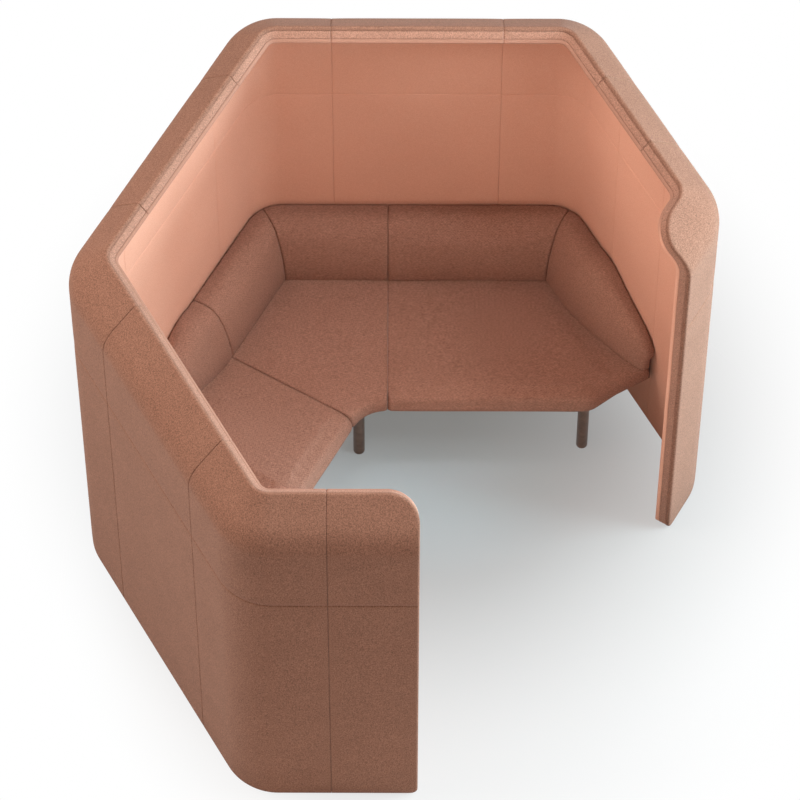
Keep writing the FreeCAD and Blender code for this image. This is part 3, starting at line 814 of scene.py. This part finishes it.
def squareFront(obj, cushion):  # a tighter top roll over an upright front face
    spots = points(obj.data)
    across = vectors(obj.data.vertices, "normal")[:, :2]
    across = across / np.maximum(np.linalg.norm(across, axis=1), padding["leastAcross"])[:, None]
    drop = benchPlan["seatTop"] - spots[:, 2]
    below = np.clip((drop - padding["pushStart"]) / (padding["pushFull"] - padding["pushStart"]), 0, 1)
    push = padding["frontPush"] + padding["rollPush"] * np.clip(1 - drop / padding["rollDepth"], 0, 1)
    clear = np.sqrt(np.clip(seamDistance(spots, cushion["seams"]) / padding["closeReach"], 0, 1))
    fromBack = wallDepth(spots, cushion["walls"]) - benchPlan["backrestFront"]
    clear *= np.clip(fromBack / padding["pushFade"], 0, 1)
    spots[:, :2] += across * (push * below * clear)[:, None]
    setPoints(obj.data, spots)


def pinchSeams(obj, seams):
    mesh = obj.data
    spots = points(mesh)
    normals = vectors(mesh.vertices, "normal")
    gap = seamDistance(spots, seams)
    into = np.clip(1 - gap / padding["pinch"], 0, 1)
    across = np.max([np.abs(normals[:, :2] @ seam["normal"]) for seam in seams], axis=0)
    depth = padding["pinchDepth"] * (1 - np.sqrt(np.maximum(1 - into ** 2, 0)))
    setPoints(mesh, spots - normals * (depth * np.clip(1 - across, 0, 1))[:, None])


def closeSeams(obj, seams):
    spots = points(obj.data)
    for seam in seams:
        gap = (spots[:, :2] - seam["point"]) @ seam["normal"]
        way = np.sign(np.mean(gap))
        least = np.min(np.abs(gap))
        into = np.clip((np.abs(gap) - least) / padding["closeReach"], 0, 1)
        nearer = wallPlan["halfSeam"] / 2 + padding["closeReach"] * into ** padding["squeeze"]
        shift = np.where(into < 1, way * nearer - gap, 0)
        spots[:, :2] += shift[:, None] * seam["normal"]
    setPoints(obj.data, spots)


def boxUv(mesh, side):
    axes = np.array(((*side["along"], 0), (*side["inward"], 0), (0, 0, 1)))
    facing = np.argmax(np.abs(vectors(mesh.polygons, "normal") @ axes.T), axis=1)
    counts = np.zeros(len(mesh.polygons), dtype=np.int32)
    mesh.polygons.foreach_get("loop_total", counts)
    kept = np.array(((1, 2), (0, 2), (0, 1)))[np.repeat(facing, counts)]
    spots = points(mesh) @ axes.T
    setUv(mesh, np.take_along_axis(spots[cornerPoints(mesh)], kept, axis=1))


for node, cushion in cushions.items():
    piece = linkObject(node + "_pad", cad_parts[node].data.copy())
    piece.data.materials.clear()
    remesh = piece.modifiers.new("even", "REMESH")
    remesh.mode = "VOXEL"
    remesh.voxel_size = padding["voxel"]
    smooth = piece.modifiers.new("soft", "SMOOTH")
    smooth.iterations = padding["evenPasses"]
    applyModifiers(piece)
    clothSwell(piece, heldPoints(piece.data, cushion))
    if cushion["seat"]:
        squareFront(piece, cushion)
    pinchSeams(piece, cushion["seams"])
    closeSeams(piece, cushion["seams"])
    boxUv(piece.data, cushion["walls"][0])
    smoothFaces(piece.data)
    piece.data.materials.append(benchFabric)
    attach(piece, "pod")
    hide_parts(node)
    print("stage:", node, len(piece.data.vertices))

# Frame pieces that keep their solid's shape
finishes = {
    "seat_board": birchPly, "backrest_board": stainedPly, "legs": bronzeMetal, "dowels": dowelBeech,
    "glide": blackNylon, "glides": blackNylon,
    "plates": zincSteel, "screws": zincSteel, "bolts": zincSteel, "spacers": zincSteel,
}  # by the ending of a node's name
for node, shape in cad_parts.items():
    for ending, material in finishes.items():
        if node.endswith(ending):
            shape.data.materials.clear()
            shape.data.materials.append(material)
print("stage: frame finishes")

# Floor, light and camera
floorLook = {
    "half": 30.0,
    "colour": (0.366, 0.348, 0.337),
    # painted light: near the bench the floor seen by the camera is lighter and cooler, lifting its shade
    "shadeLift": (0.75, 0.91, 0.97),
    "bounce": (0.80, 0.71, 0.645),  # what the floor gives back to the part
    # painted shade: under the pod the floor gives back darker light to the part
    "inside": (0.30, 0.29, 0.28),
    # painted shadow: the seen floor glows grey near the pod and white further out; inside the pod most of
    # the seen floor is this glow
    "paintedShadow": (0.245, 0.25, 0.247),
    "shadowGlowLeast": 0.68,
    "shadeReach": ((0.1, 0.52, 0.0), 0.2, 0.75),  # a centre, and where a change starts and ends
    "bounceShadeReach": ((0.3, 0.1, 0.0), 0.62, 1.3),
    "fadeReach": ((0.2, -0.2, 0.0), 0.75, 1.42),
    "shadowGlowReach": ((0.1, 0.52, 0.0), 0.1, 1.62),
}


def growing(tree, centre, start, end):
    length = tree.nodes.new("ShaderNodeVectorMath")
    length.operation = "DISTANCE"
    length.inputs[1].default_value = centre
    tree.links.new(coordinates(tree, "Object"), length.inputs[0])
    node = tree.nodes.new("ShaderNodeMapRange")
    node.interpolation_type = "SMOOTHSTEP"
    tree.links.new(length.outputs["Value"], node.inputs["Value"])
    node.inputs["From Min"].default_value = start
    node.inputs["From Max"].default_value = end
    return node.outputs["Result"]


def studioFloor():
    half = floorLook["half"]
    mesh = bpy.data.meshes.new("studioFloor")
    corners = [(-half, -half, 0), (half, -half, 0), (half, half, 0), (-half, half, 0)]
    mesh.from_pydata(corners, [], [(0, 1, 2, 3)])
    floor = linkObject("studioFloor", mesh)
    material, tree, output = emptyTree("studioFloor")
    matt = tree.nodes.new("ShaderNodeBsdfDiffuse")
    shadowGlowNode = tree.nodes.new("ShaderNodeEmission")
    shadowGlowNode.inputs["Strength"].default_value = 1.0
    seen = seenRays(tree)
    # painted light: the seen floor colour is lifted under the bench
    away = growing(tree, *floorLook["shadeReach"])
    shade = mixColours(tree, away, floorLook["shadeLift"], floorLook["colour"])
    # painted shade in the light the floor gives back under the pod
    outside = growing(tree, *floorLook["bounceShadeReach"])
    bounce = mixColours(tree, outside, floorLook["inside"], floorLook["bounce"])
    tree.links.new(mixColours(tree, seen, bounce, shade), matt.inputs["Color"])
    # painted shadow: a grey glow near the pod, rising to white further out
    shadowGlow = mixColours(tree, growing(tree, *floorLook["shadowGlowReach"]), floorLook["paintedShadow"], plainWhite)
    tree.links.new(shadowGlow, shadowGlowNode.inputs["Color"])
    fade = rangeOf(tree, growing(tree, *floorLook["fadeReach"]), floorLook["shadowGlowLeast"], 1.0)
    mixed = tree.nodes.new("ShaderNodeMixShader")
    tree.links.new(mathOf(tree, "MULTIPLY", fade, seen), mixed.inputs["Fac"])
    tree.links.new(matt.outputs[0], mixed.inputs[1])
    tree.links.new(shadowGlowNode.outputs[0], mixed.inputs[2])
    tree.links.new(mixed.outputs[0], output.inputs["Surface"])
    mesh.materials.append(material)
    return floor


studioFloor()

lamps = {
    "rightKey": {"place": (3.9, 0.3, 6.6), "aim": (0.1, 0.2, 0.8), "size": 4.0, "power": 560.0,
                 "colour": (0.88, 0.96, 1.0), "spread": 180},
    "rightSide": {"place": (5.6, -0.2, 2.9), "aim": (1.0, -0.1, 1.6), "size": 2.0, "power": 690.0,
                  "colour": (0.62, 0.89, 1.0), "spread": 180},
    "leftFill": {"place": (-4.6, 0.3, 5.6), "aim": (-0.6, 0.0, 1.0), "size": 3.2, "power": 430.0,
                 "colour": (1.0, 0.94, 0.88), "spread": 180},
    "frontHigh": {"place": (1.2, -4.6, 5.2), "aim": (0.1, 0.6, 0.8), "size": 3.0, "power": 62.0,
                  "colour": (1.0, 0.98, 0.95), "spread": 180},
    "topSoft": {"place": (0.0, 0.5, 6.0), "aim": (0.1, 0.6, 0.4), "size": 0.7, "power": 0.7,
                "colour": (1.0, 0.98, 0.96), "spread": 14},
}
for lampName, lamp in lamps.items():
    data = bpy.data.lights.new(lampName, "AREA")
    data.size = lamp["size"]
    data.energy = lamp["power"]
    data.color = lamp["colour"]
    data.spread = math.radians(lamp["spread"])
    light = linkObject(lampName, data)
    light.location = lamp["place"]
    facing = Vector(lamp["aim"]) - Vector(lamp["place"])
    light.rotation_euler = facing.to_track_quat("-Z", "Y").to_euler()

worldLook = {"stops": (0.0, 0.9), "horizon": (0.71, 0.56, 0.485), "zenith": (0.43, 0.34, 0.293)}
world = bpy.data.worlds.new("studio")
world.use_nodes = True
scene.world = world
worldTree = world.node_tree
backdrop = worldTree.nodes["Background"]
split = worldTree.nodes.new("ShaderNodeSeparateXYZ")
worldTree.links.new(coordinates(worldTree, "Generated"), split.inputs[0])
sky = ramp(worldTree, split.outputs["Z"], worldLook["stops"], (worldLook["horizon"], worldLook["zenith"]))
whitened = mixColours(worldTree, seenRays(worldTree), sky, plainWhite)
worldTree.links.new(whitened, backdrop.inputs["Color"])
backdrop.inputs["Strength"].default_value = 1.0

cameraPlan = {"target": (0.0102, 0.5751, 0.0), "distance": 21.5, "pitch": math.radians(60.26),
              "roll": math.radians(0.14), "lens": 259.05, "sensor": 36.0, "shiftX": 0.0028, "clipEnd": 200.0}
cameraData = bpy.data.cameras.new("photoCamera")
cameraData.lens = cameraPlan["lens"]
cameraData.sensor_width = cameraPlan["sensor"]
cameraData.shift_x = cameraPlan["shiftX"]
cameraData.clip_end = cameraPlan["clipEnd"]
camera = linkObject("photoCamera", cameraData)
back = Vector((0, -math.cos(cameraPlan["pitch"]), math.sin(cameraPlan["pitch"])))
place = Vector(cameraPlan["target"]) + back * cameraPlan["distance"]
tilt = Matrix.Rotation(quarterTurn - cameraPlan["pitch"], 4, "X")
roll = Matrix.Rotation(cameraPlan["roll"], 4, "Z")
camera.matrix_world = Matrix.Translation(place) @ tilt @ roll
scene.camera = camera
scene.view_settings.view_transform = "Standard"
print("stage: studio")
